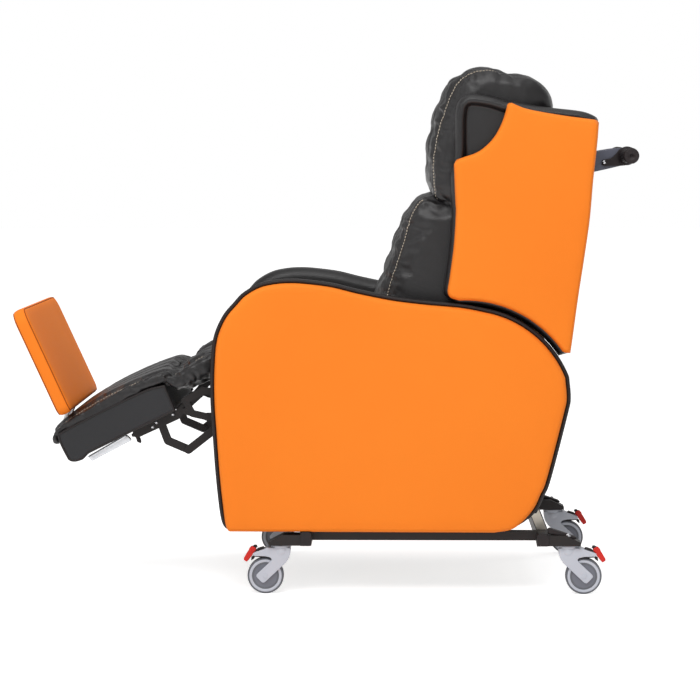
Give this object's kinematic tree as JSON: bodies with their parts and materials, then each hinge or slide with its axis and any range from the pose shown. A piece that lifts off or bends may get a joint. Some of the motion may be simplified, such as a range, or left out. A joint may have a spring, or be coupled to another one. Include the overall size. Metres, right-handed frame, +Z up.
{
  "type": "wing-back recliner",
  "caption": "Mobile recliner with upholstered side panels, winged back, raised legrest with folding footplate, tilting seat on a castored steel chassis, and a push handle.",
  "frame": {"origin": "on the floor under the middle of the chair's bounding box, at rest with the legrest raised", "axes": "+Z up, the sitter faces -Y, +X to the sitter's left"},
  "size_m": [0.7, 1.2884, 1.0857],
  "materials": {
    "orange_upholstery": "coated upholstery fabric, satin, fine grain",
    "black_upholstery": "coated upholstery fabric, satin, fine grain",
    "frame_black": "powder coat, satin black-brown",
    "bright_steel": "zinc plated",
    "handle_grey": "grey-blue paint",
    "grip_black": "moulded rubber",
    "castor_grey": "moulded nylon, light grey",
    "hub_grey": "moulded nylon, dark grey",
    "tyre_grey": "grey thermoplastic rubber",
    "pedal_red": "moulded nylon, red",
    "plywood": "raw plywood"
  },
  "bodies": {
    "chassis": {"chassis_rail_left": "frame_black", "chassis_rail_right": "frame_black", "chassis_front_beam": "frame_black", "chassis_rear_beam": "frame_black", "tilt_upright_left": "bright_steel", "tilt_upright_right": "bright_steel", "tilt_shaft": "bright_steel"},
    "seat": {"seat_rail_left": "frame_black", "seat_rail_right": "frame_black", "seat_front_tube": "frame_black", "seat_rear_tube": "frame_black", "recline_shaft": "bright_steel", "seat_board": "plywood", "seat_cushion": "black_upholstery", "knee_flap": "black_upholstery", "arm_inner_left": "black_upholstery", "arm_inner_right": "black_upholstery", "arm_panel_left": "orange_upholstery", "arm_panel_right": "orange_upholstery"},
    "back": {"back_frame": "plywood", "back_shell": "black_upholstery", "back_cushion": "black_upholstery", "head_cushion": "black_upholstery", "wing_inner_left": "black_upholstery", "wing_inner_right": "black_upholstery", "wing_panel_left": "orange_upholstery", "wing_panel_right": "orange_upholstery", "handle_bracket_left": "handle_grey", "handle_bracket_right": "handle_grey", "push_handle_bar": "handle_grey", "handle_grip_left": "grip_black", "handle_grip_right": "grip_black"},
    "legrest": {"legrest_casing": "black_upholstery", "legrest_pad": "black_upholstery", "legrest_hanger_left": "frame_black", "legrest_hanger_right": "frame_black"},
    "lower_links": {"lower_link_left": "frame_black", "lower_link_right": "frame_black"},
    "front_links": {"front_link_left": "frame_black", "front_link_right": "frame_black"},
    "footplate_carrier": {"footplate_arms": "bright_steel"},
    "footplate_board": {"footplate": "orange_upholstery"},
    "gas_tube": {"gas_spring_tube": "frame_black"},
    "gas_rod": {"gas_spring_rod": "bright_steel"},
    "castor_front_left": {"castor_fork_front_left": "castor_grey"},
    "castor_front_right": {"castor_fork_front_right": "castor_grey"},
    "castor_rear_left": {"castor_fork_rear_left": "castor_grey"},
    "castor_rear_right": {"castor_fork_rear_right": "castor_grey"},
    "wheel_front_left": {"castor_tyre_front_left": "tyre_grey", "castor_hub_front_left": "hub_grey"},
    "wheel_front_right": {"castor_tyre_front_right": "tyre_grey", "castor_hub_front_right": "hub_grey"},
    "wheel_rear_left": {"castor_tyre_rear_left": "tyre_grey", "castor_hub_rear_left": "hub_grey"},
    "wheel_rear_right": {"castor_tyre_rear_right": "tyre_grey", "castor_hub_rear_right": "hub_grey"},
    "pedal_front_left": {"brake_pedal_front_left": "pedal_red"},
    "pedal_front_right": {"brake_pedal_front_right": "pedal_red"},
    "pedal_rear_left": {"brake_pedal_rear_left": "pedal_red"},
    "pedal_rear_right": {"brake_pedal_rear_right": "pedal_red"}
  },
  "joints": [
    {"name": "seat_tilt", "type": "hinge", "parent": "chassis", "child": "seat", "pos_m": [0, 0.42717, 0.175], "axis": [-1, 0, 0], "range_deg": [0, 20]},
    {"name": "back_recline", "type": "hinge", "parent": "seat", "child": "back", "pos_m": [0, 0.28617, 0.363], "axis": [-1, 0, 0], "range_deg": [0, 35]},
    {"name": "legrest_lift", "type": "hinge", "parent": "seat", "child": "legrest", "pos_m": [0, -0.25583, 0.413], "axis": [1, 0, 0], "range_deg": [-8, 64]},
    {"name": "lower_link_swing", "type": "hinge", "parent": "seat", "child": "lower_links", "pos_m": [0, -0.19884, 0.358], "axis": [1, 0, 0], "range_deg": [-8, 64]},
    {"name": "front_link_swing", "type": "hinge", "parent": "lower_links", "child": "front_links", "pos_m": [0, -0.28684, 0.289], "axis": [1, 0, 0], "range_deg": [-64, 8]},
    {"name": "footplate_reach", "type": "slide", "parent": "legrest", "child": "footplate_carrier", "axis": [0, -0.9085, -0.4179], "range_m": [0, 0.06]},
    {"name": "footplate_fold", "type": "hinge", "parent": "footplate_carrier", "child": "footplate_board", "pos_m": [0, -0.5488, 0.38106], "axis": [-1, 0, 0], "range_deg": [0, 80]},
    {"name": "gas_tube_swing", "type": "hinge", "parent": "chassis", "child": "gas_tube", "pos_m": [0, 0.05917, 0.168], "axis": [1, 0, 0], "range_deg": [0, 0.4]},
    {"name": "gas_rod_slide", "type": "slide", "parent": "gas_tube", "child": "gas_rod", "axis": [0, 0.7048, 0.7094], "range_m": [0, 0.0908]},
    {"name": "castor_swivel_front_left", "type": "hinge", "parent": "chassis", "child": "castor_front_left", "pos_m": [0.318, -0.09154, 0.101], "axis": [0, 0, 1], "continuous": true},
    {"name": "castor_swivel_front_right", "type": "hinge", "parent": "chassis", "child": "castor_front_right", "pos_m": [-0.318, -0.09154, 0.101], "axis": [0, 0, 1], "continuous": true},
    {"name": "castor_swivel_rear_left", "type": "hinge", "parent": "chassis", "child": "castor_rear_left", "pos_m": [0.318, 0.49837, 0.101], "axis": [0, 0, 1], "continuous": true},
    {"name": "castor_swivel_rear_right", "type": "hinge", "parent": "chassis", "child": "castor_rear_right", "pos_m": [-0.318, 0.49837, 0.101], "axis": [0, 0, 1], "continuous": true},
    {"name": "wheel_spin_front_left", "type": "hinge", "parent": "castor_front_left", "child": "wheel_front_left", "pos_m": [0.318, -0.12354, 0.0375], "axis": [1, 0, 0], "continuous": true},
    {"name": "wheel_spin_front_right", "type": "hinge", "parent": "castor_front_right", "child": "wheel_front_right", "pos_m": [-0.318, -0.12354, 0.0375], "axis": [1, 0, 0], "continuous": true},
    {"name": "wheel_spin_rear_left", "type": "hinge", "parent": "castor_rear_left", "child": "wheel_rear_left", "pos_m": [0.318, 0.53036, 0.0375], "axis": [1, 0, 0], "continuous": true},
    {"name": "wheel_spin_rear_right", "type": "hinge", "parent": "castor_rear_right", "child": "wheel_rear_right", "pos_m": [-0.318, 0.53036, 0.0375], "axis": [1, 0, 0], "continuous": true},
    {"name": "brake_front_left", "type": "hinge", "parent": "castor_front_left", "child": "pedal_front_left", "pos_m": [0.318, -0.14303, 0.0907], "axis": [-1, 0, 0], "range_deg": [0, 30]},
    {"name": "brake_front_right", "type": "hinge", "parent": "castor_front_right", "child": "pedal_front_right", "pos_m": [-0.318, -0.14303, 0.0907], "axis": [-1, 0, 0], "range_deg": [0, 30]},
    {"name": "brake_rear_left", "type": "hinge", "parent": "castor_rear_left", "child": "pedal_rear_left", "pos_m": [0.318, 0.54987, 0.0907], "axis": [1, 0, 0], "range_deg": [0, 30]},
    {"name": "brake_rear_right", "type": "hinge", "parent": "castor_rear_right", "child": "pedal_rear_right", "pos_m": [-0.318, 0.54987, 0.0907], "axis": [1, 0, 0], "range_deg": [0, 30]}
  ],
  "couplings": [
    {"joint": "lower_link_swing", "follows": "legrest_lift", "ratio": 1},
    {"joint": "front_link_swing", "follows": "legrest_lift", "ratio": -1},
    {"joint": "gas_tube_swing", "follows": "seat_tilt", "ratio": 0.01575},
    {"joint": "gas_rod_slide", "follows": "seat_tilt", "m_per_rad": 0.25963}
  ]
}
